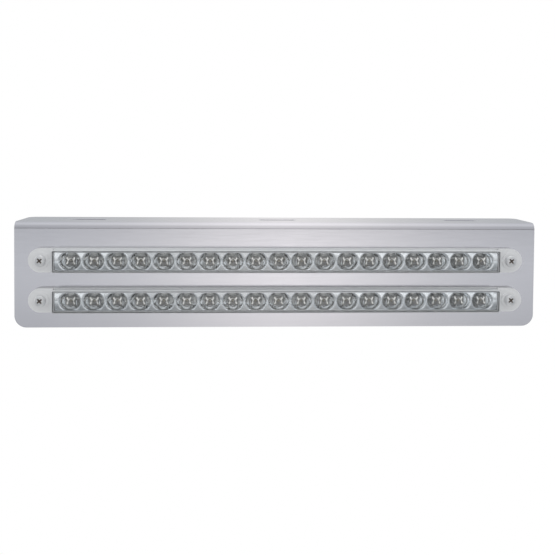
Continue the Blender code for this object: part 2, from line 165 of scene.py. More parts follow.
# Lock nut and wire grommet.
NUT_HALF_FLATS = 0.004
NUT_CHAMFER = 0.0003
NUT_CHAMFER_HEIGHT = 0.0010
NUT_CORNER_MARGIN = 0.0002
NUT_BORE = 0.0027
FLANGE_HEIGHT = 0.0016
FLANGE_EDGE = 0.0004
FLANGE_SLOPE_INSET = 0.0003
FLANGE_SLOPE_FOOT = 0.0006
INSERT_BORE = 0.00265
INSERT_RADIUS = 0.0033
INSERT_CHAMFER = 0.0002
GROMMET_BORE = 0.0036
GROMMET_NECK = 0.0061
COLLAR_ROUNDING = 0.0006
BORE_CHAMFER = 0.0003

# Camera, matched to the photo; its place is measured from the middle of the face's top edge.
FOCAL_LENGTH = 49.48
CAMERA_SHIFT_Y = -0.1793
CAMERA_TURN = math.radians(-2.90)
CAMERA_TILT = math.radians(90.0 - 1.907)
CAMERA_ROLL = math.radians(0.457)
CAMERA_X = -0.0355
CAMERA_DISTANCE = 0.6711
CAMERA_Z = 0.0617

# Studio. The fills stand mirrored on both sides of the part.
FILL_PLACE = (1.08, -1.56, 0.66)
FILL_SIZE = 1.7
FILL_POWER = 5.2
FLOOR_DROP = 0.60
FLOOR_HALF_SIZE = 6.0


# ---- mesh helpers


def new_piece(name, bm, materials):
    """Turns a finished bmesh into an object with these materials."""
    mesh = bpy.data.meshes.new(name)
    bm.to_mesh(mesh)
    bm.free()
    for mat in materials:
        mesh.materials.append(mat)
    obj = bpy.data.objects.new(name, mesh)
    bpy.context.scene.collection.objects.link(obj)
    return obj


def add_piece(name, bm, materials, replaced):
    """A piece on the part's one body that takes the place of CAD nodes."""
    obj = new_piece(name, bm, materials)
    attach(obj, "root")
    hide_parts(*replaced)
    return obj


def apply_modifiers(obj):
    """Replaces the object's mesh with its evaluated one, so that no modifier is left."""
    bpy.context.view_layer.update()
    evaluated = obj.evaluated_get(bpy.context.evaluated_depsgraph_get())
    mesh = bpy.data.meshes.new_from_object(evaluated)
    mesh.name = obj.name
    obj.modifiers.clear()
    obj.data = mesh


def shade_round(obj, degrees):
    """Smooth shading, with edges sharper than the angle kept crisp."""
    obj.data.shade_smooth()
    obj.data.set_sharp_from_angle(angle=math.radians(degrees))


def round_edges(obj, width, segments, degrees):
    """Small bevels on the sharp edges, with flat faces kept flat in the shading."""
    bevel = obj.modifiers.new("edge_rounding", "BEVEL")
    bevel.width = width
    bevel.segments = segments
    bevel.limit_method = "ANGLE"
    bevel.angle_limit = math.radians(degrees)
    bevel.use_clamp_overlap = True
    apply_modifiers(obj)
    obj.data.shade_smooth()
    weighted = obj.modifiers.new("weighted", "WEIGHTED_NORMAL")
    weighted.mode = "FACE_AREA"
    weighted.keep_sharp = True
    apply_modifiers(obj)


def combine(obj, bm, operation, materials=()):
    """Boolean with a throwaway shape; given materials, the cut faces keep them."""
    tool = new_piece("tool", bm, materials)
    boolean = obj.modifiers.new("boolean", "BOOLEAN")
    boolean.object = tool
    boolean.operation = operation
    boolean.solver = "EXACT"
    if materials:
        boolean.material_mode = "TRANSFER"
    apply_modifiers(obj)
    bpy.data.objects.remove(tool)


def join_into(bm, other):
    """Adds another bmesh to this one and frees it."""
    mesh = bpy.data.meshes.new("island")
    other.to_mesh(mesh)
    other.free()
    bm.from_mesh(mesh)
    bpy.data.meshes.remove(mesh)


def rounded_outline(half_width, half_height, radius, steps=12):
    """Anticlockwise rectangle with rounded corners, as (x, z) points."""
    points = []
    for corner in range(4):
        side_x = 1 if corner in (0, 3) else -1
        side_z = 1 if corner in (0, 1) else -1
        for step in range(steps + 1):
            angle = (corner + step / steps) * math.pi / 2
            x = side_x * (half_width - radius) + radius * math.cos(angle)
            z = side_z * (half_height - radius) + radius * math.sin(angle)
            points.append((x, z))
    return points


def loft(sections):
    """Closed solid through outlines of equal point count; sections are (depth, outline), back to front."""
    bm = bmesh.new()
    rings = [[bm.verts.new((x, -depth, z)) for x, z in outline] for depth, outline in sections]
    for behind, ahead in zip(rings, rings[1:]):
        for i in range(len(behind)):
            j = (i + 1) % len(behind)
            bm.faces.new((behind[i], behind[j], ahead[j], ahead[i]))
    bm.faces.new(rings[0])
    bm.faces.new(rings[-1])
    bmesh.ops.remove_doubles(bm, verts=bm.verts, dist=WELD_DISTANCE)
    bmesh.ops.recalc_face_normals(bm, faces=bm.faces)
    return bm


def block(x_range, z_range, depths):
    """Plain box between two depths."""
    outline = [
        (x_range[0], z_range[0]),
        (x_range[1], z_range[0]),
        (x_range[1], z_range[1]),
        (x_range[0], z_range[1]),
    ]
    return loft([(depths[0], outline), (depths[1], outline)])


def turned(profile, segments=48):
    """Closed solid turned about the Y axis from (radius, depth) points."""
    bm = bmesh.new()
    verts = [bm.verts.new((radius, -depth, 0.0)) for radius, depth in profile]
    edges = [bm.edges.new(pair) for pair in zip(verts, verts[1:])]
    bmesh.ops.spin(
        bm,
        geom=verts + edges,
        axis=(0.0, 1.0, 0.0),
        cent=(0.0, 0.0, 0.0),
        angle=2 * math.pi,
        steps=segments,
    )
    bmesh.ops.remove_doubles(bm, verts=bm.verts, dist=WELD_DISTANCE)
    bmesh.ops.recalc_face_normals(bm, faces=bm.faces)
    return bm


def cylinder(radius, depths, segments=48):
    """Closed cylinder along the Y axis between two depths."""
    behind, ahead = depths
    return turned([(0.0, behind), (radius, behind), (radius, ahead), (0.0, ahead)], segments)


def moved(bm, x=0.0, y=0.0, z=0.0):
    """Moves a bmesh and returns it."""
    bmesh.ops.translate(bm, verts=bm.verts, vec=(x, y, z))
    return bm


def centre(node):
    """Middle of a CAD node's box."""
    low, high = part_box(node)
    return (low + high) / 2


# ---- materials


class Shader:
    """A small wrapper that builds a node material line by line."""

    def __init__(self, name):
        self.material = bpy.data.materials.new(name)
        self.material.use_nodes = True
        self.nodes = self.material.node_tree.nodes
        self.links = self.material.node_tree.links
        self.surface = self.nodes["Principled BSDF"]
        self.output = self.nodes["Material Output"]

    def set(self, **values):
        """Fixed inputs of the surface; an underscore stands for a space."""
        for name, value in values.items():
            self.surface.inputs[name.replace("_", " ")].default_value = value

    def node(self, kind, **settings):
        """A new node, with its inputs or attributes set by name."""
        made = self.nodes.new(kind)
        for name, value in settings.items():
            if name in made.inputs:
                made.inputs[name].default_value = value
            else:
                setattr(made, name, value)
        return made

    def link(self, source, target):
        self.links.new(source, target)

    def coordinates(self, stretch=(1.0, 1.0, 1.0)):
        """Object coordinates, stretched by a factor along each axis for a grain."""
        texture = self.node("ShaderNodeTexCoord")
        mapping = self.node("ShaderNodeMapping")
        mapping.inputs["Scale"].default_value = stretch
        self.link(texture.outputs["Object"], mapping.inputs["Vector"])
        return mapping.outputs["Vector"]

    def noise(self, vector, scale, detail=3.0, roughness=0.5):
        """Noise value; scale is in features per metre."""
        made = self.node("ShaderNodeTexNoise", Scale=scale, Detail=detail, Roughness=roughness)
        self.link(vector, made.inputs["Vector"])
        return made.outputs["Fac"]

    def spread(self, value, low, high):
        """Maps a noise value from its usual span, 0.3 to 0.7, to low..high."""
        made = self.node("ShaderNodeMapRange")
        made.inputs["From Min"].default_value = 0.3
        made.inputs["From Max"].default_value = 0.7
        made.inputs["To Min"].default_value = low
        made.inputs["To Max"].default_value = high
        self.link(value, made.inputs["Value"])
        return made.outputs["Result"]

    def tint(self, value, dark, light):
        """Colour between two tones by a 0..1 value; 6, 7 and 2 are the Mix node's colour sockets."""
        made = self.node("ShaderNodeMix", data_type="RGBA")
        made.inputs[6].default_value = (*dark, 1.0)
        made.inputs[7].default_value = (*light, 1.0)
        self.link(value, made.inputs[0])
        self.link(made.outputs[2], self.surface.inputs["Base Color"])

    def bump(self, value, distance, strength):
        """Surface relief from a value, with its height in metres."""
        made = self.node("ShaderNodeBump")
        made.inputs["Strength"].default_value = strength
        made.inputs["Distance"].default_value = distance
        self.link(value, made.inputs["Height"])
        self.link(made.outputs["Normal"], self.surface.inputs["Normal"])


def stainless_steel():
    """Satin stainless sheet: faint grain along its length and soft mill mottling."""
    shader = Shader("stainless_sheet")
    shader.set(Metallic=1.0)
    grain = shader.noise(shader.coordinates((6.0, 260.0, 260.0)), 9.0, detail=4.0)
    mottle = shader.noise(shader.coordinates(), 22.0, detail=5.0, roughness=0.6)
    shader.tint(shader.spread(mottle, 0.0, 1.0), (0.655, 0.643, 0.676), (0.680, 0.668, 0.702))
    added = shader.node("ShaderNodeMath", operation="ADD")
    shader.link(shader.spread(grain, 0.13, 0.18), added.inputs[0])
    shader.link(shader.spread(mottle, -0.015, 0.015), added.inputs[1])
    shader.link(added.outputs[0], shader.surface.inputs["Roughness"])
    shader.bump(grain, 0.00001, 0.35)
    return shader.material


def white_plastic():
    """Semi-gloss white moulding with a very fine eggshell texture."""
    shader = Shader("white_moulding")
    vector = shader.coordinates()
    cloud = shader.noise(vector, 60.0, detail=4.0)
    fine = shader.noise(vector, 2600.0, detail=2.0)
    shader.tint(shader.spread(cloud, 0.0, 1.0), (0.775, 0.775, 0.780), (0.805, 0.805, 0.808))
    shader.link(shader.spread(cloud, 0.34, 0.42), shader.surface.inputs["Roughness"])
    shader.bump(fine, 0.00003, 0.3)
    return shader.material


def chromed_plastic():
    """Vacuum-metallised reflector: bright, with the slight orange peel of its lacquer."""
    shader = Shader("metallised_reflector")
    vector = shader.coordinates()
    peel = shader.noise(vector, 700.0, detail=2.0)
    haze = shader.noise(vector, 90.0, detail=3.0)
    shader.set(Metallic=1.0)
    shader.tint(shader.spread(haze, 0.0, 1.0), (0.66, 0.68, 0.695), (0.71, 0.73, 0.745))
    shader.link(shader.spread(haze, 0.05, 0.10), shader.surface.inputs["Roughness"])
    shader.bump(peel, 0.00002, 0.4)
    return shader.material


def clear_plastic():
    """Clear polycarbonate with a trace of grey and a barely uneven gloss."""
    shader = Shader("clear_lens")
    vector = shader.coordinates()
    wave = shader.noise(vector, 160.0, detail=2.0)
    shader.set(IOR=1.49, Transmission_Weight=1.0)
    shader.tint(shader.spread(wave, 0.0, 1.0), (0.965, 0.97, 0.975), (0.985, 0.99, 0.995))
    shader.link(shader.spread(wave, 0.0, 0.015), shader.surface.inputs["Roughness"])
    return shader.material


def frosted_side():
    """The lens's side walls and rounded edges: pale and matt, so that little shows through."""
    shader = Shader("frosted_lens_side")
    fine = shader.noise(shader.coordinates(), 1800.0, detail=3.0)
    shader.set(IOR=1.49, Transmission_Weight=0.2)
    shader.tint(shader.spread(fine, 0.0, 1.0), (0.86, 0.868, 0.876), (0.90, 0.908, 0.916))
    shader.link(shader.spread(fine, 0.45, 0.60), shader.surface.inputs["Roughness"])
    shader.bump(fine, 0.00001, 0.3)
    return shader.material


def led_epoxy():
    """Water-clear epoxy of a lamp's dome, slightly warm."""
    shader = Shader("led_epoxy")
    swirl = shader.noise(shader.coordinates(), 400.0, detail=2.0)
    shader.set(IOR=1.5, Transmission_Weight=1.0)
    shader.tint(shader.spread(swirl, 0.0, 1.0), (0.95, 0.94, 0.92), (0.98, 0.975, 0.96))
    shader.link(shader.spread(swirl, 0.0, 0.04), shader.surface.inputs["Roughness"])
    return shader.material


def phosphor():
    """Dull yellowish chip coating in the middle of each lamp."""
    shader = Shader("led_chip")
    grain = shader.noise(shader.coordinates(), 3000.0)
    shader.tint(shader.spread(grain, 0.0, 1.0), (0.44, 0.40, 0.32), (0.54, 0.50, 0.40))
    shader.set(Roughness=0.55)
    return shader.material


def bright_metal(name, dark, light, low, high, grain_scale):
    """Plated or polished hardware; the two roughness limits set how soft its reflections are."""
    shader = Shader(name)
    shader.set(Metallic=1.0)
    grain = shader.noise(shader.coordinates(), grain_scale, detail=4.0)
    shader.tint(shader.spread(grain, 0.0, 1.0), dark, light)
    shader.link(shader.spread(grain, low, high), shader.surface.inputs["Roughness"])
    shader.bump(grain, 0.00001, 0.2)
    return shader.material


def matte(name, dark, light, roughness, scale, relief):
    """Dull rubber, foam, paint or lacquer with a fine uneven surface; also the painted shade of the screw
    recesses.
    """
    shader = Shader(name)
    grain = shader.noise(shader.coordinates(), scale, detail=5.0, roughness=0.6)
    shader.tint(shader.spread(grain, 0.0, 1.0), dark, light)
    uneven = shader.spread(grain, roughness - 0.06, roughness + 0.06)
    shader.link(uneven, shader.surface.inputs["Roughness"])
    shader.bump(grain, relief, 0.5)
    return shader.material


STEEL = stainless_steel()
WHITE = white_plastic()
CHROME = chromed_plastic()
CLEAR = clear_plastic()
FROSTED = frosted_side()
EPOXY = led_epoxy()
CHIP = phosphor()
SCREW_STEEL = bright_metal("polished_screw", (0.80, 0.80, 0.81), (0.88, 0.88, 0.88), 0.38, 0.46, 900.0)
# Painted shade: a dark brown tone given to the screws' cross recesses in place of the shadow inside them.
RECESS_PAINTED_SHADE = matte("recess_shadow", (0.120, 0.098, 0.082), (0.190, 0.155, 0.130), 0.6, 2000.0, 0.00001)
SILVER = bright_metal("silvered_lead_frame", (0.94, 0.93, 0.90), (0.98, 0.97, 0.94), 0.26, 0.34, 1500.0)
ZINC = bright_metal("zinc_plate", (0.56, 0.56, 0.53), (0.70, 0.70, 0.66), 0.28, 0.42, 700.0)
NYLON = matte("nylon_insert", (0.10, 0.16, 0.34), (0.14, 0.21, 0.42), 0.45, 900.0, 0.00001)
RUBBER = matte("black_rubber", (0.018, 0.018, 0.019), (0.035, 0.035, 0.036), 0.62, 1200.0, 0.00002)
FOAM = matte("white_foam", (0.60, 0.60, 0.60), (0.74, 0.74, 0.74), 0.85, 2400.0, 0.00008)
TILE = matte("lamp_tile", (0.42, 0.405, 0.39), (0.50, 0.485, 0.47), 0.40, 1500.0, 0.00001)
BOARD = matte("board_mask", (0.62, 0.66, 0.62), (0.70, 0.73, 0.70), 0.42, 500.0, 0.00001)


# ---- bracket


def fold_point(x, along, inset, face_y):
    """Where a point of the flat sheet lands; along is 0 at the bend's start, inset is 0 on the outside."""
    bend_length = BEND_RADIUS * math.pi / 2
    bend_y = face_y + BEND_RADIUS
    if along <= 0.0:
        return (x, bend_y - along, -inset)
    if along >= bend_length:
        return (x, face_y + inset, -BEND_RADIUS - (along - bend_length))
    angle = along / BEND_RADIUS
    reach = BEND_RADIUS - inset
    return (x, bend_y - reach * math.sin(angle), -BEND_RADIUS + reach * math.cos(angle))


def flat_sheet_outline(half_width, flange_depth, face_height):
    """Outline of the unfolded sheet as (x, along) points, with its four rounded corners."""
    flange_end = -(flange_depth - BEND_RADIUS)
    face_end = BEND_RADIUS * math.pi / 2 + face_height - BEND_RADIUS
    corners = [
        (half_width, face_end, FACE_CORNER_RADIUS),
        (-half_width, face_end, FACE_CORNER_RADIUS),
        (-half_width, flange_end, FLANGE_CORNER_RADIUS),
        (half_width, flange_end, FLANGE_CORNER_RADIUS),
    ]
    steps = 16
    points = []
    for quarter, (x, along, radius) in enumerate(corners):
        centre_x = x - math.copysign(radius, x)
        centre_along = along - math.copysign(radius, along)
        for step in range(steps + 1):
            angle = (quarter + step / steps) * math.pi / 2
            rounded_x = centre_x + radius * math.cos(angle)
            rounded_along = centre_along + radius * math.sin(angle)
            points.append((rounded_x, rounded_along))
    return points


def folded_sheet(low, high):
    """The flat sheet cut across its bend in narrow strips and folded."""
    outline = flat_sheet_outline(high.x, high.y - low.y, high.z - low.z)
    bm = bmesh.new()
    outside = [bm.verts.new((x, along, 0.0)) for x, along in outline]
    inside = [bm.verts.new((x, along, SHEET)) for x, along in outline]
    for i in range(len(outline)):
        j = (i + 1) % len(outline)
        bm.faces.new((outside[i], outside[j], inside[j], inside[i]))
    bm.faces.new(outside)
    bm.faces.new(inside)
    bend_steps = 20
    for step in range(bend_steps + 1):
        along = step / bend_steps * BEND_RADIUS * math.pi / 2
        bmesh.ops.bisect_plane(
            bm,
            geom=list(bm.verts) + list(bm.edges) + list(bm.faces),
            plane_co=(0.0, along, 0.0),
            plane_no=(0.0, 1.0, 0.0),
        )
    for vert in bm.verts:
        vert.co = fold_point(*vert.co, low.y)
    bmesh.ops.recalc_face_normals(bm, faces=bm.faces)
    return bm


def slot_cutters():
    """Round-ended slots, at the middles of the openings that the record states for bolts."""
    cutters = bmesh.new()
    outline = rounded_outline(SLOT_LENGTH / 2, SLOT_WIDTH / 2, SLOT_WIDTH / 2, steps=16)
    upright = Matrix.Rotation(math.radians(-90), 3, "X")
    for opening in frame["record"]["physics"]["openings"]:
        if not opening["name"].startswith("bolt_slot"):
            continue
        low, high = opening["box_m"]
        slot = loft([(-SHEET * 2, outline), (SHEET, outline)])
        bmesh.ops.rotate(slot, verts=slot.verts, cent=(0.0, 0.0, 0.0), matrix=upright)
        join_into(cutters, moved(slot, x=(low[0] + high[0]) / 2, y=(low[1] + high[1]) / 2))
    return cutters


def face_hole_cutters(face_y):
    """Screw and wire holes through the front face, behind the screws and grommets."""
    cutters = bmesh.new()
    depths = (-SHEET * 2, SHEET)
    for bar in BARS:
        wire = centre("wire_grommet_" + bar)
        join_into(cutters, moved(cylinder(WIRE_HOLE_RADIUS, depths), y=face_y, z=wire.z))
        for side in SIDES:
            screw = centre(f"screw_{bar}_{side}")
            hole = cylinder(HOLE_RADIUS, depths, 32)
            join_into(cutters, moved(hole, x=screw.x, y=face_y, z=screw.z))
    return cutters


def build_bracket():
    """The folded sheet with its slots and holes, and the edges taken off."""
    low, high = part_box("bracket")
    sheet = folded_sheet(low, high)
    bracket = add_piece("bracket_sheet", sheet, [STEEL], ["bracket"])
    combine(bracket, slot_cutters(), "DIFFERENCE")
    combine(bracket, face_hole_cutters(low.y), "DIFFERENCE")
    round_edges(bracket, SHEET_EDGE_ROUNDING, segments=2, degrees=50)


# ---- light bars


class Bar:
    """Where one bar's pieces lie: its centre height and the depths of its nodes in front of the face."""

    def __init__(self, name):
        self.name = name
        self.face_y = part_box("bracket")[0].y
        self.z = centre("base_housing_" + name).z
        self.ear_front = self.depths("base_housing")[0] + EAR_HEIGHT
        self.boss_front = self.ear_front + BOSS_HEIGHT

    def depths(self, node):
        """Where a node of this bar starts and ends, in front of the face."""
        low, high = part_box(node + "_" + self.name)
        return (self.face_y - high.y, self.face_y - low.y)

    def half_size(self, node):
        """Half the length and half the height of a node's box."""
        low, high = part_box(node + "_" + self.name)
        return ((high.x - low.x) / 2, (high.z - low.z) / 2)

    def place(self, bm):
        """Moves a bmesh to the face at the bar's height."""
        return moved(bm, y=self.face_y, z=self.z)


def ear_boss(sign, screw_x, seat_x, depths):
    """Raised disc under a screw head, with a short web towards the lens."""
    inner_x = screw_x - seat_x
    start = math.asin(WEB_HALF_HEIGHT / BOSS_RADIUS)
    steps = 56
    outline = [(-inner_x, WEB_HALF_HEIGHT), (-inner_x, -WEB_HALF_HEIGHT)]
    for step in range(steps + 1):
        angle = math.pi + start + step / steps * (2 * math.pi - 2 * start)
        outline.append((BOSS_RADIUS * math.cos(angle), BOSS_RADIUS * math.sin(angle)))
    placed = [(sign * (screw_x + x), z) for x, z in outline]
    return loft([(depth, placed) for depth in depths])


def build_base(bar):
    """White housing: ears and bosses, the lens's seat, a rib round the reflector, pad recess and holes."""
    behind, rib_front = bar.depths("base_housing")
    half_length, half_height = bar.half_size("base_housing")
    lens_x = bar.half_size("lens")[0]
    screw_x = centre(f"screw_{bar.name}_right").x
    ear_front, boss_front = bar.ear_front, bar.boss_front
    floor = behind + FLOOR_DEPTH
    seat_x = lens_x + CLEARANCE
    outline = rounded_outline(half_length, half_height, half_height, steps=24)
    base = new_piece("housing_" + bar.name, loft([(behind, outline), (ear_front, outline)]), [WHITE])
    seat_z = half_height + OVERCUT
    seat = block((-seat_x, seat_x), (-seat_z, seat_z), (floor, ear_front + OVERCUT))
    combine(base, seat, "DIFFERENCE")
    rib_x, rib_z = (size + CLEARANCE + RIB_WIDTH for size in bar.half_size("reflector"))
    rib = rounded_outline(rib_x, rib_z, RIB_CORNER, steps=4)
    tray = rounded_outline(rib_x - RIB_WIDTH, rib_z - RIB_WIDTH, RIB_INNER_CORNER, steps=4)
    combine(base, loft([(floor - OVERCUT, rib), (rib_front, rib)]), "UNION")
    combine(base, loft([(floor, tray), (rib_front + OVERCUT, tray)]), "DIFFERENCE")
    pad_x, pad_z = (size + CLEARANCE for size in bar.half_size("foam_pad"))
    recess = rounded_outline(pad_x, pad_z, pad_z, steps=24)
    recess_front = bar.depths("foam_pad")[1] + CLEARANCE
    combine(base, loft([(behind - OVERCUT, recess), (recess_front, recess)]), "DIFFERENCE")
    for sign in (-1, 1):
        boss = ear_boss(sign, screw_x, seat_x + WEB_SETBACK, (ear_front - OVERCUT, boss_front))
        combine(base, boss, "UNION")
    holes = bmesh.new()
    for sign in (-1, 1):
        hole = cylinder(HOLE_RADIUS, (behind - OVERCUT, boss_front + OVERCUT), 32)
        join_into(holes, moved(hole, x=sign * screw_x))
    join_into(holes, cylinder(FLOOR_HOLE_RADIUS, (behind - OVERCUT, floor + OVERCUT)))
    combine(base, holes, "DIFFERENCE")
    round_edges(base, EDGE_ROUNDING, segments=3, degrees=40)
    base.data.transform(Matrix.Translation((0.0, bar.face_y, bar.z)))
    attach(base, "root")
    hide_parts("base_housing_" + bar.name)


def rounded_front(depths, half_length, half_height, corner, rounding, steps):
    """Sections of a block whose front edges are quarter rounds."""
    behind, ahead = depths
    sections = [(behind, rounded_outline(half_length, half_height, corner))]
    for step in range(steps + 1):
        angle = step / steps * math.pi / 2
        inset = rounding * (1 - math.cos(angle))
        depth = ahead - rounding + rounding * math.sin(angle)
        outline = rounded_outline(half_length - inset, half_height - inset, corner - inset)
        sections.append((depth, outline))
    return sections


def build_lens(bar):
    """Cap with a clear front and frosted sides, rounded outside, and a rounded hollow open at the back."""
    behind, ahead = bar.depths("lens")
    half_length, half_height = bar.half_size("lens")
    outer = rounded_front((behind, ahead), half_length, half_height, LENS_CORNER, LENS_ROUNDING, 6)
    lens = new_piece("lens_cap_" + bar.name, loft(outer), [CLEAR])
    inner_corner = LENS_CORNER - LENS_WALL
    hollow = rounded_front(
        (behind - OVERCUT, ahead - LENS_WALL),
        half_length - LENS_WALL,
        half_height - LENS_WALL,
        inner_corner,
        inner_corner * HOLLOW_ROUNDING,
        4,
    )
    combine(lens, loft(hollow), "DIFFERENCE")
    lens.data.materials.append(FROSTED)
    for face in lens.data.polygons:
        face.material_index = 1 if abs(face.normal.y) < FRONT_FACING else 0
    shade_round(lens, 40)
    lens.data.transform(Matrix.Translation((0.0, bar.face_y, bar.z)))
    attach(lens, "root")
    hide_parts("lens_" + bar.name)


def smooth_min(a, b, softness):
    """The lower of two depths, blended over a short distance where they cross."""
    share = max(0.0, softness - abs(a - b)) / softness
    return min(a, b) - share * share * softness / 4


def hole_reach(angle):
    """Distance from a cup's centre to the edge of its rounded square lamp hole, at an angle."""
    cosine, sine = abs(math.cos(angle)), abs(math.sin(angle))
    straight = CUP_HOLE_HALF / max(cosine, sine)
    corner = CUP_HOLE_HALF - CUP_HOLE_CORNER
    if straight * min(cosine, sine) <= corner:
        return straight
    along = corner * (cosine + sine)
    return along + math.sqrt(max(0.0, along**2 - 2 * corner**2 + CUP_HOLE_CORNER**2))


def cup_depth(x, z, behind, ahead):
    """Depth of the reflector's front at a point measured from a cup's centre."""
    floor = behind + CUP_FLOOR
    rim = ahead - RIM_DROP
    rise = (math.hypot(x, z) ** 2 - CUP_HOLE_HALF**2) / (CUP_RIM_RADIUS**2 - CUP_HOLE_HALF**2)
    dish = floor + rise * (rim - floor)
    barrel = ahead - BARREL_DROP * (z / CUP_HALF_HEIGHT) ** 2
    return smooth_min(dish, barrel, RIM_SOFTNESS)


def cell_rays(half_width, half_height):
    """Angles round a cell, evenly spread on both sides of each corner, with one at each corner."""
    corner = math.atan2(half_height, half_width)
    steps = 9
    angles = []
    for quarter in range(4):
        low_part, high_part = corner, math.pi / 2 - corner
        if quarter % 2:
            low_part, high_part = high_part, low_part
        start = quarter * math.pi / 2
        angles += [start + low_part * i / steps for i in range(steps)]
        angles += [start + low_part + high_part * i / steps for i in range(steps)]
    return angles


def cup_cell(half_width, behind, ahead):
    """Front surface of one cell: rings of a dish out to its rim, then the land out to its rectangle."""
    bm = bmesh.new()
    rays = []
    dish_steps = 9
    flat_steps = 4
    for angle in cell_rays(half_width, CUP_HALF_HEIGHT):
        cosine = math.cos(angle)
        sine = math.sin(angle)
        reach = min(
            half_width / max(abs(cosine), NEARLY_ZERO),
            CUP_HALF_HEIGHT / max(abs(sine), NEARLY_ZERO),
        )
        start = hole_reach(angle)
        rim = min(CUP_RIM_RADIUS, reach - RIM_TO_CELL_EDGE)
        radii = [start + (rim - DISH_TO_RIM - start) * i / dish_steps for i in range(dish_steps + 1)]
        radii += [rim + ring for ring in RIM_RINGS]
        outermost = RIM_RINGS[-1]
        for i in range(1, flat_steps + 1):
            radii.append(rim + outermost + (reach - rim - outermost) * i / flat_steps)
        ray = []
        for radius in radii:
            x = radius * cosine
            z = radius * sine
            ray.append(bm.verts.new((x, -cup_depth(x, z, behind, ahead), z)))
        rays.append(ray)
    for ray, following in zip(rays, rays[1:] + rays[:1]):
        for i in range(len(ray) - 1):
            bm.faces.new((ray[i], ray[i + 1], following[i + 1], following[i]))
    return bm


def extrude_edges(bm, edges, shift):
    """Extrudes boundary edges, moves the new points by a function and returns the new boundary."""
    made = bmesh.ops.extrude_edge_only(bm, edges=edges)["geom"]
    for item in made:
        if isinstance(item, bmesh.types.BMVert):
            item.co = shift(item.co)
    return [item for item in made if isinstance(item, bmesh.types.BMEdge) and item.is_boundary]


def build_reflector(bar):
    """Row of cells joined edge to edge, with a ledge all round, lamp holes and a closed back."""
    behind, ahead = bar.depths("reflector")
    half_length, half_height = bar.half_size("reflector")
    xs = [centre(f"led_{bar.name}_{i:02d}").x for i in LAMPS]
    pitch = (xs[-1] - xs[0]) / (len(xs) - 1)
    bm = bmesh.new()
    for x in xs:
        join_into(bm, moved(cup_cell(pitch / 2, behind, ahead), x=x))
    bmesh.ops.remove_doubles(bm, verts=bm.verts, dist=SEAM_TOLERANCE)
    outer_x = xs[-1] + pitch / 2 - SEAM_TOLERANCE
    outer_z = CUP_HALF_HEIGHT - SEAM_TOLERANCE
    hole_edges = []
    rim_edges = []
    for edge in bm.edges:
        if not edge.is_boundary:
            continue
        middle = (edge.verts[0].co + edge.verts[1].co) / 2
        if abs(middle.z) > outer_z or abs(middle.x) > outer_x:
            rim_edges.append(edge)
        else:
            hole_edges.append(edge)
    ledge = ahead - BARREL_DROP + LEDGE_LIP

    def up_to_ledge(co):
        return (co.x, min(-ledge, co.y), co.z)

    def out_to_edge(co):
        x = math.copysign(half_length, co.x) if abs(co.x) > outer_x else co.x
        z = math.copysign(half_height, co.z) if abs(co.z) > outer_z else co.z
        return (x, co.y, z)

    def to_back(co):
        return (co.x, -behind, co.z)

    rim_edges = extrude_edges(bm, rim_edges, up_to_ledge)
    rim_edges = extrude_edges(bm, rim_edges, out_to_edge)
    rim_edges = extrude_edges(bm, rim_edges, to_back)
    hole_edges = extrude_edges(bm, hole_edges, to_back)
    bmesh.ops.triangle_fill(bm, use_beauty=True, edges=rim_edges + hole_edges)
    bmesh.ops.dissolve_degenerate(bm, dist=WELD_DISTANCE, edges=bm.edges)
    bmesh.ops.recalc_face_normals(bm, faces=bm.faces)
    reflector = add_piece(
        "reflector_strip_" + bar.name,
        bar.place(bm),
        [CHROME],
        ["reflector_" + bar.name],
    )
    shade_round(reflector, 40)


def led_body():
    """Clear square body with softened edges and a dome on its front."""
    steps = 6
    inner = LED_BODY_HALF - LED_EDGE
    square = rounded_outline(LED_BODY_HALF, LED_BODY_HALF, LED_BODY_CORNER, steps)
    sections = [
        (0.0, square),
        (LED_BODY_HEIGHT - LED_EDGE, square),
        (LED_BODY_HEIGHT, rounded_outline(inner, inner, LED_BODY_CORNER, steps)),
    ]
    dome_steps = 12
    for step in range(dome_steps):
        angle = step / dome_steps * math.pi / 2
        radius = LED_DOME_RADIUS * math.cos(angle)
        depth = LED_BODY_HEIGHT + LED_DOME_RADIUS * math.sin(angle)
        sections.append((depth, rounded_outline(radius, radius, radius, steps)))
    return loft(sections)


def ribbon(points, width, depths):
    """Flat strip of metal along a line of (x, z) points, between two depths."""
    left = []
    right = []
    for i, (x, z) in enumerate(points):
        before = points[max(i - 1, 0)]
        after = points[min(i + 1, len(points) - 1)]
        step_x = after[0] - before[0]
        step_z = after[1] - before[1]
        length = math.hypot(step_x, step_z)
        offset_x = -step_z / length * width / 2
        offset_z = step_x / length * width / 2
        left.append((x + offset_x, z + offset_z))
        right.append((x - offset_x, z - offset_z))
    outline = left + right[::-1]
    return loft([(depth, outline) for depth in depths])


def lead_frame():
    """Bright metal inside a lamp, leaning back: an arch over the chip and two arms that spread upwards."""
    bm = bmesh.new()
    arch = []
    half_steps = 10
    for step in range(2 * half_steps + 1):
        x = (step / half_steps - 1) * ARCH_HALF_SPAN
        arch.append((x, ARCH_TOP - ARCH_FALL * abs(x / ARCH_HALF_SPAN) ** ARCH_POWER))
    join_into(bm, ribbon(arch, FRAME_STRIP_WIDTH, FRAME_DEPTHS))
    arm_steps = 8
    for sign in (-1, 1):
        arm = []
        for step in range(arm_steps + 1):
            share = step / arm_steps
            arm_x = ARM_FOOT_X + ARM_SPREAD * share**ARM_POWER
            arm.append((sign * arm_x, ARM_FOOT_Z + share * ARM_RISE))
        join_into(bm, ribbon(arm, FRAME_STRIP_WIDTH, FRAME_DEPTHS))
    for vert in bm.verts:
        vert.co.y += vert.co.z * FRAME_LEAN
    return bm


def lamp_floor():
    """Grey tile that fills the back of a lamp's body."""
    outline = rounded_outline(TILE_HALF, TILE_HALF, TILE_CORNER, steps=4)
    return loft([(depth, outline) for depth in TILE_DEPTHS])


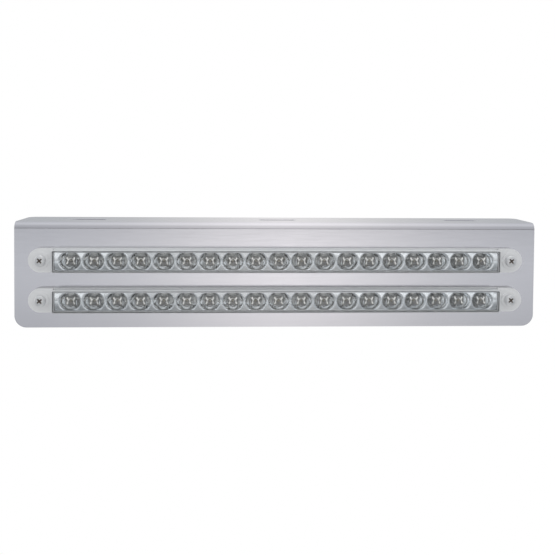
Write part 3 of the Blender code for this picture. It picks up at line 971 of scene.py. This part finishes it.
def led_chip():
    """Small coated chip under the arch of the lead frame."""
    return turned(CHIP_PROFILE, 16)


def build_leds(bar):
    """Lamp bodies that share one mesh; a bar's frames, chips and tiles are one piece each."""
    body_mesh = None
    frames = bmesh.new()
    chips = bmesh.new()
    floors = bmesh.new()
    for i in LAMPS:
        node = f"led_{bar.name}_{i:02d}"
        low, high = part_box(node)
        place = ((low.x + high.x) / 2, high.y, bar.z)
        name = f"lamp_{bar.name}_{i:02d}"
        if body_mesh is None:
            lamp = new_piece(name, led_body(), [EPOXY])
            shade_round(lamp, 50)
            body_mesh = lamp.data
        else:
            lamp = bpy.data.objects.new(name, body_mesh)
            bpy.context.scene.collection.objects.link(lamp)
        lamp.location = place
        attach(lamp, "root")
        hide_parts(node)
        join_into(frames, moved(lead_frame(), *place))
        join_into(chips, moved(led_chip(), *place))
        join_into(floors, moved(lamp_floor(), *place))
    parts = (("lamp_frames_", frames, SILVER), ("lamp_chips_", chips, CHIP), ("lamp_floors_", floors, TILE))
    for label, bm, mat in parts:
        piece = new_piece(label + bar.name, bm, [mat])
        shade_round(piece, 40)
        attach(piece, "root")


# ---- hardware


def recess_cutter(top, depth, turn):
    """Cross recess: four wings that narrow and slope to a small point, as a driver's tip does."""
    levels = [(share, depth * down_share) for share, down_share in WING_SLOPE]
    levels.append((WING_OVERREACH, -CLEARANCE))
    sections = []
    for share, down in levels:
        reach = WING_LENGTH * share
        half = WING_HALF_WIDTH * (1 - WING_NARROWING + WING_NARROWING * share)
        root = half * WING_ROOT_SHARE
        outline = []
        for quarter in range(4):
            angle = quarter * math.pi / 2 + turn
            for x, z in ((reach, -half), (reach, half), (root, root)):
                turned_x = x * math.cos(angle) - z * math.sin(angle)
                turned_z = x * math.sin(angle) + z * math.cos(angle)
                outline.append((turned_x, turned_z))
        sections.append((top - down, outline))
    return loft(sections)


def pan_head(seat, top, radius):
    """Profile of a screw's head from its seat to its crown, with a rounded shoulder."""
    height = top - seat
    profile = [(0.0, seat), (radius - HEAD_EDGE, seat), (radius, seat + HEAD_EDGE)]
    steps = 10
    shoulder = SHOULDER_SHARE * height
    for step in range(steps):
        angle = step / steps * math.pi / 2
        crown_radius = radius * math.cos(angle) ** CROWN_POWER
        profile.append((crown_radius, seat + shoulder + (height - shoulder) * math.sin(angle)))
    profile.append((0.0, top))
    return profile


def threaded_shank(tip, end, radius):
    """Shank with a helical thread as a wavy tube; it runs from the tip to the head."""
    segments = 20
    rings_per_turn = 6
    count = int((end - tip) / THREAD_PITCH * rings_per_turn)
    sections = []
    for ring in range(count + 1):
        along = ring / rings_per_turn * THREAD_PITCH
        taper = min(1.0, along / TIP_LENGTH)
        outline = []
        for segment in range(segments):
            phase = (along / THREAD_PITCH - segment / segments) % 1.0
            crest = 1.0 - abs(2.0 * phase - 1.0)
            reach = radius - THREAD_DEPTH * (1.0 - crest) - TIP_NARROWING * (1.0 - taper)
            angle = segment / segments * 2 * math.pi
            outline.append((reach * math.cos(angle), reach * math.sin(angle)))
        sections.append((tip + along, outline))
    return loft(sections)


def build_screw(bar, side):
    """Pan head whose cross recess is coloured with painted shade, joined with its threaded shank."""
    node = f"screw_{bar.name}_{side}"
    low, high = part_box(node)
    tip = bar.face_y - high.y
    top = bar.face_y - low.y
    seat = bar.boss_front + CLEARANCE
    radius = (high.x - low.x) / 2
    head = turned(pan_head(seat, top, radius), 64)
    screw = new_piece(f"screw_head_{bar.name}_{side}", head, [SCREW_STEEL])
    # The recess's cut faces take the painted shade colour, which stands in for the shadow in the hollow.
    combine(screw, recess_cutter(top, RECESS_DEPTH, SCREW_TURN), "DIFFERENCE", [RECESS_PAINTED_SHADE])
    shade_round(screw, 40)
    joined = bmesh.new()
    joined.from_mesh(screw.data)
    join_into(joined, threaded_shank(tip, seat + SHANK_OVERLAP, SHANK_RADIUS))
    joined.to_mesh(screw.data)
    joined.free()
    screw.location = (centre(node).x, bar.face_y, bar.z)
    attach(screw, "root")
    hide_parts(node)


def build_nut(bar, side):
    """Flanged lock nut: chamfered hexagon, round flange and a coloured insert at its far end."""
    node = f"lock_nut_{bar.name}_{side}"
    low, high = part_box(node)
    far = bar.face_y - high.y
    near = bar.face_y - low.y
    radius = (high.x - low.x) / 2
    corner = NUT_HALF_FLATS / math.cos(math.pi / 6)
    angles = [k * math.pi / 3 for k in range(6)]
    hexagon = [(corner * math.cos(angle), corner * math.sin(angle)) for angle in angles]
    prism = loft([(far, hexagon), (near - FLANGE_EDGE, hexagon)])
    nut = new_piece(f"flange_nut_{bar.name}_{side}", prism, [ZINC])
    lathe_radius = corner + NUT_CORNER_MARGIN
    lathe = [
        (0.0, far),
        (NUT_HALF_FLATS - NUT_CHAMFER, far),
        (lathe_radius, far + NUT_CHAMFER_HEIGHT),
        (lathe_radius, near),
        (0.0, near),
    ]
    combine(nut, turned(lathe, 64), "INTERSECT")
    flange = [
        (0.0, near - FLANGE_HEIGHT),
        (corner - FLANGE_EDGE, near - FLANGE_HEIGHT),
        (radius - FLANGE_SLOPE_INSET, near - FLANGE_SLOPE_FOOT),
        (radius, near - FLANGE_EDGE),
        (radius, near),
        (0.0, near),
    ]
    combine(nut, turned(flange, 64), "UNION")
    combine(nut, cylinder(NUT_BORE, (far - OVERCUT, near + OVERCUT)), "DIFFERENCE")
    shade_round(nut, 30)
    nut.location = (centre(node).x, bar.face_y, bar.z)
    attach(nut, "root")
    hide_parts(node)
    sunk = far + INSERT_CHAMFER
    insert = [
        (INSERT_BORE, sunk),
        (INSERT_RADIUS, sunk),
        (INSERT_RADIUS, far),
        (INSERT_RADIUS - INSERT_CHAMFER, far),
        (INSERT_BORE, far + INSERT_CHAMFER / 2),
        (INSERT_BORE, sunk),
    ]
    ring = new_piece(f"nut_insert_{bar.name}_{side}", turned(insert), [NYLON])
    shade_round(ring, 40)
    ring.location = nut.location
    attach(ring, "root")


def build_grommet(bar):
    """Rubber bush with a collar on each side of the sheet; the rear one is rounded."""
    node = "wire_grommet_" + bar.name
    low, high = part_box(node)
    back = bar.face_y - high.y
    front = bar.face_y - low.y
    lip = (high.x - low.x) / 2
    profile = [
        (GROMMET_BORE, front),
        (GROMMET_BORE, back + BORE_CHAMFER),
        (GROMMET_BORE + BORE_CHAMFER, back),
    ]
    steps = 6
    for step in range(steps + 1):
        angle = step / steps * math.pi / 2
        radius = lip - COLLAR_ROUNDING + COLLAR_ROUNDING * math.sin(angle)
        profile.append((radius, back + COLLAR_ROUNDING - COLLAR_ROUNDING * math.cos(angle)))
    profile += [
        (lip, -SHEET - CLEARANCE),
        (GROMMET_NECK, -SHEET - CLEARANCE),
        (GROMMET_NECK, CLEARANCE),
        (lip, CLEARANCE),
        (lip, front),
        (GROMMET_BORE, front),
    ]
    grommet = add_piece(
        "wire_bush_" + bar.name,
        bar.place(turned(profile)),
        [RUBBER],
        [node],
    )
    shade_round(grommet, 40)


def finish_cad_nodes():
    """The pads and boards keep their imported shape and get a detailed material."""
    for bar in BARS:
        for label, mat in (("foam_pad_", FOAM), ("circuit_board_", BOARD)):
            node = frame["nodes"][label + bar]
            node.data.materials.clear()
            node.data.materials.append(mat)


# ---- studio


def build_camera():
    """Normal lens, a little left of the middle and above the flange, looking slightly down and right."""
    camera_data = bpy.data.cameras.new("camera")
    camera_data.lens = FOCAL_LENGTH
    camera_data.shift_y = CAMERA_SHIFT_Y
    camera_data.clip_start = 0.01
    camera = bpy.data.objects.new("camera", camera_data)
    face_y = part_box("bracket")[0].y
    turn = Matrix.Rotation(CAMERA_TURN, 4, "Z")
    tilt = Matrix.Rotation(CAMERA_TILT, 4, "X")
    roll = Matrix.Rotation(CAMERA_ROLL, 4, "Z")
    place = Matrix.Translation((CAMERA_X, face_y - CAMERA_DISTANCE, CAMERA_Z))
    camera.matrix_world = place @ turn @ tilt @ roll
    bpy.context.scene.collection.objects.link(camera)
    bpy.context.scene.camera = camera


def fill_light(name, side, aim):
    """Broad soft light from one side, hidden from the camera and from reflections."""
    data = bpy.data.lights.new(name, "AREA")
    data.size = FILL_SIZE
    data.energy = FILL_POWER
    light = bpy.data.objects.new(name, data)
    x, y, z = FILL_PLACE
    light.location = (side * x, y, z)
    direction = aim - light.location
    light.rotation_euler = direction.to_track_quat("-Z", "Y").to_euler()
    light.visible_camera = False
    light.visible_glossy = False
    bpy.context.scene.collection.objects.link(light)


# Brightness of the room by angle: 0 is straight ahead of the lamps, 90 is above and 180 is behind.
ROOM_RING = (
    (-180, 0.80),
    (-120, 1.05),
    (-75, 1.00),
    (-45, 0.48),
    (-28, 0.50),
    (-16, 0.76),
    (-9, 1.20),
    (-5.5, 1.22),
    (-3, 0.40),
    (2, 0.32),
    (6, 0.70),
    (11, 0.84),
    (26, 0.84),
    (44, 0.92),
    (63, 1.12),
    (85, 1.24),
    (113, 1.12),
    (140, 1.00),
    (172, 0.80),
    (180, 0.78),
)
# Colour against how far a direction points to the side: 0 is straight ahead, 1 is along the bars.
ROOM_SIDES = (
    (0.00, (1.10, 1.09, 1.09)),
    (0.05, (1.04, 1.035, 1.035)),
    (0.12, (0.89, 0.895, 0.90)),
    (0.20, (0.735, 0.750, 0.765)),
    (0.30, (0.645, 0.670, 0.695)),
    (0.55, (0.63, 0.66, 0.685)),
    (0.85, (0.62, 0.64, 0.66)),
    (0.93, (0.85, 0.86, 0.88)),
    (1.00, (1.00, 1.01, 1.02)),
)
# How far the middle of that colouring is turned to the right.
ROOM_AXIS = 0.06


def room_ramp(nodes, stops, low, high):
    """Ramp through (place, grey or colour) stops, and the node that maps low..high onto it."""
    spread = nodes.new("ShaderNodeMapRange")
    spread.inputs["From Min"].default_value = low
    spread.inputs["From Max"].default_value = high
    ramp = nodes.new("ShaderNodeValToRGB")
    elements = ramp.color_ramp.elements
    while len(elements) < len(stops):
        elements.new(0.5)
    for element, (place, value) in zip(elements, stops):
        element.position = (place - low) / (high - low)
        colour = value if isinstance(value, tuple) else (value, value, value)
        element.color = (*colour, 1.0)
    return spread, ramp


def build_world():
    """White surround for the eye; for light and reflections, a grey room that is dark straight ahead."""
    world = bpy.data.worlds.new("studio")
    bpy.context.scene.world = world
    world.use_nodes = True
    nodes = world.node_tree.nodes
    links = world.node_tree.links
    nodes.clear()

    def math_node(operation, first, second=None):
        made = nodes.new("ShaderNodeMath")
        made.operation = operation
        for socket, value in zip(made.inputs, (first, second)):
            if value is None:
                continue
            if isinstance(value, (int, float)):
                socket.default_value = value
            else:
                links.new(value, socket)
        return made.outputs[0]

    coordinates = nodes.new("ShaderNodeTexCoord")
    split = nodes.new("ShaderNodeSeparateXYZ")
    links.new(coordinates.outputs["Generated"], split.inputs[0])
    forward = math_node("MULTIPLY", split.outputs["Y"], -1.0)
    around = math_node("ARCTAN2", split.outputs["Z"], forward)
    ring_spread, ring = room_ramp(nodes, ROOM_RING, -180.0, 180.0)
    links.new(math_node("DEGREES", around), ring_spread.inputs["Value"])
    links.new(ring_spread.outputs["Result"], ring.inputs["Fac"])
    aside = math_node("ABSOLUTE", math_node("SUBTRACT", split.outputs["X"], ROOM_AXIS))
    side_spread, sides = room_ramp(nodes, ROOM_SIDES, 0.0, 1.0)
    links.new(aside, side_spread.inputs["Value"])
    links.new(side_spread.outputs["Result"], sides.inputs["Fac"])
    room = nodes.new("ShaderNodeBackground")
    links.new(ring.outputs["Color"], room.inputs["Strength"])
    links.new(sides.outputs["Color"], room.inputs["Color"])
    white = nodes.new("ShaderNodeBackground")
    white.inputs["Color"].default_value = (1.0, 1.0, 1.0, 1.0)
    path = nodes.new("ShaderNodeLightPath")
    mix = nodes.new("ShaderNodeMixShader")
    output = nodes.new("ShaderNodeOutputWorld")
    links.new(path.outputs["Is Camera Ray"], mix.inputs["Fac"])
    links.new(room.outputs[0], mix.inputs[1])
    links.new(white.outputs[0], mix.inputs[2])
    links.new(mix.outputs[0], output.inputs["Surface"])


def build_floor():
    """Floor well below the hanging part, plain white to the camera and grey to the light."""
    shader = Shader("studio_floor")
    cloud = shader.noise(shader.coordinates(), 3.0)
    shader.tint(shader.spread(cloud, 0.0, 1.0), (0.50, 0.50, 0.50), (0.54, 0.54, 0.54))
    shader.set(Roughness=0.9)
    glow = shader.node("ShaderNodeEmission")
    path = shader.node("ShaderNodeLightPath")
    mix = shader.node("ShaderNodeMixShader")
    shader.link(path.outputs["Is Camera Ray"], mix.inputs["Fac"])
    shader.link(shader.surface.outputs[0], mix.inputs[1])
    shader.link(glow.outputs[0], mix.inputs[2])
    shader.link(mix.outputs[0], shader.output.inputs["Surface"])
    bm = bmesh.new()
    bmesh.ops.create_grid(bm, x_segments=2, y_segments=2, size=FLOOR_HALF_SIZE)
    floor = new_piece("floor", bm, [shader.material])
    floor.location = (0.0, 0.0, CAD_BOUNDS[0].z - FLOOR_DROP)
    floor.visible_glossy = False
    floor.visible_transmission = False


def build_studio():
    """Camera, room, floor and two fills, with colours shown as computed."""
    middle = (CAD_BOUNDS[0] + CAD_BOUNDS[1]) / 2
    bpy.context.scene.view_settings.view_transform = "Standard"
    build_camera()
    build_world()
    build_floor()
    fill_light("left_fill", -1, middle)
    fill_light("right_fill", 1, middle)


def main():
    """Builds every piece, then the studio."""
    build_bracket()
    for name in BARS:
        bar = Bar(name)
        build_base(bar)
        build_lens(bar)
        build_reflector(bar)
        build_leds(bar)
        build_grommet(bar)
        for side in SIDES:
            build_screw(bar, side)
            build_nut(bar, side)
    finish_cad_nodes()
    build_studio()


main()
